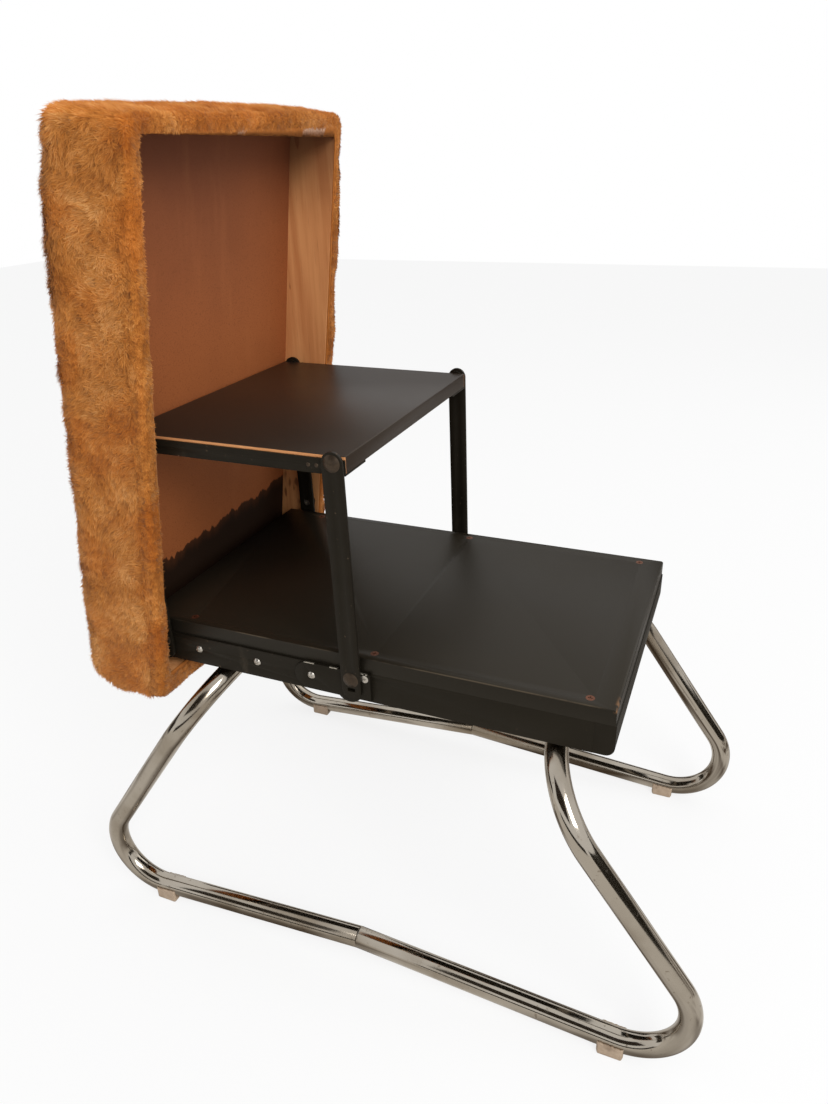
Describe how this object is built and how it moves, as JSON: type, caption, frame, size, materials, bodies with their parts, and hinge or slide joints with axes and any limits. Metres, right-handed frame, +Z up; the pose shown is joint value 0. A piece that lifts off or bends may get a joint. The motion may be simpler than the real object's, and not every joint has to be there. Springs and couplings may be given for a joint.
{
  "type": "folding step stool chair",
  "caption": "Padded plush seat on bent chrome tube legs whose seat tips up and lifts an upper step, making a small step ladder.",
  "frame": {"origin": "on the floor, under the middle of the part's overall box", "axes": "+Z up, -Y towards the side that is climbed from, +X across the steps to the right when seen from that side"},
  "size_m": [0.41, 0.6734, 0.8382],
  "materials": {
    "chrome_tube": "polished chrome-plated steel tube with light wear",
    "foot_plastic": "aged translucent beige plastic, satin",
    "black_laminate": "dark brown-black laminate, satin, faint mottle",
    "black_wood": "black painted wood, satin",
    "black_steel": "black painted steel with worn edges",
    "silver_screw": "bright zinc-plated screws",
    "dark_screw": "dark oiled screws",
    "brown_screw": "brown worn brass countersunk screws",
    "grey_steel": "plain bent sheet and bar steel",
    "plywood": "old varnished plywood with fine grain",
    "hardboard": "brown hardboard, matt",
    "plush": "long pile golden brown plush",
    "foam": "open cell foam"
  },
  "bodies": {
    "root": {"front_leg_tube": "chrome_tube", "rear_leg_tube": "chrome_tube", "runner_joint_plugs": "grey_steel", "foot_front_left": "foot_plastic", "foot_front_right": "foot_plastic", "foot_rear_left": "foot_plastic", "foot_rear_right": "foot_plastic", "base_board": "black_laminate", "side_rail_left": "black_wood", "side_rail_right": "black_wood", "front_rail": "black_wood", "rear_rail": "black_wood", "front_cross_rail": "black_wood", "rear_cross_rail": "black_wood", "tube_saddles": "grey_steel", "saddle_screws": "silver_screw", "board_screws": "brown_screw", "strip_screws": "silver_screw", "base_front_rivets": "black_steel", "base_rear_rivets": "black_steel", "side_strip_left": "black_steel", "side_strip_right": "black_steel", "pivot_bracket_left": "black_steel", "pivot_bracket_right": "black_steel"},
    "seat": {"rear_link_left": "black_steel", "rear_link_right": "black_steel", "link_screws": "silver_screw", "link_spacers": "black_steel", "box_wall_left": "plywood", "box_wall_right": "plywood", "box_wall_rear": "plywood", "box_wall_front": "plywood", "seat_panel": "hardboard", "seat_foam": "foam", "plush_cover": "plush"},
    "step": {"step_angle_left": "black_steel", "step_angle_right": "black_steel", "step_board": "black_laminate", "step_screws": "dark_screw", "step_front_rivets": "black_steel", "step_rear_rivets": "black_steel"},
    "front_link_left": {"front_link_left": "black_steel"},
    "front_link_right": {"front_link_right": "black_steel"}
  },
  "joints": [
    {"name": "seat_fold", "type": "hinge", "parent": "root", "child": "seat", "pos_m": [0, 0.2354, 0.3398], "axis": [1, 0, 0], "range_deg": [0, 81.62]},
    {"name": "step_fold", "type": "hinge", "parent": "seat", "child": "step", "pos_m": [0, 0.239, 0.557], "axis": [1, 0, 0], "range_deg": [-81.62, 0]},
    {"name": "front_link_left_fold", "type": "hinge", "parent": "root", "child": "front_link_left", "pos_m": [0, 0.0184, 0.3398], "axis": [1, 0, 0], "range_deg": [0, 81.62]},
    {"name": "front_link_right_fold", "type": "hinge", "parent": "root", "child": "front_link_right", "pos_m": [0, 0.0184, 0.3398], "axis": [1, 0, 0], "range_deg": [0, 81.62]}
  ],
  "couplings": [
    {"joint": "step_fold", "follows": "seat_fold", "ratio": -1},
    {"joint": "front_link_left_fold", "follows": "seat_fold", "ratio": 1},
    {"joint": "front_link_right_fold", "follows": "seat_fold", "ratio": 1}
  ]
}
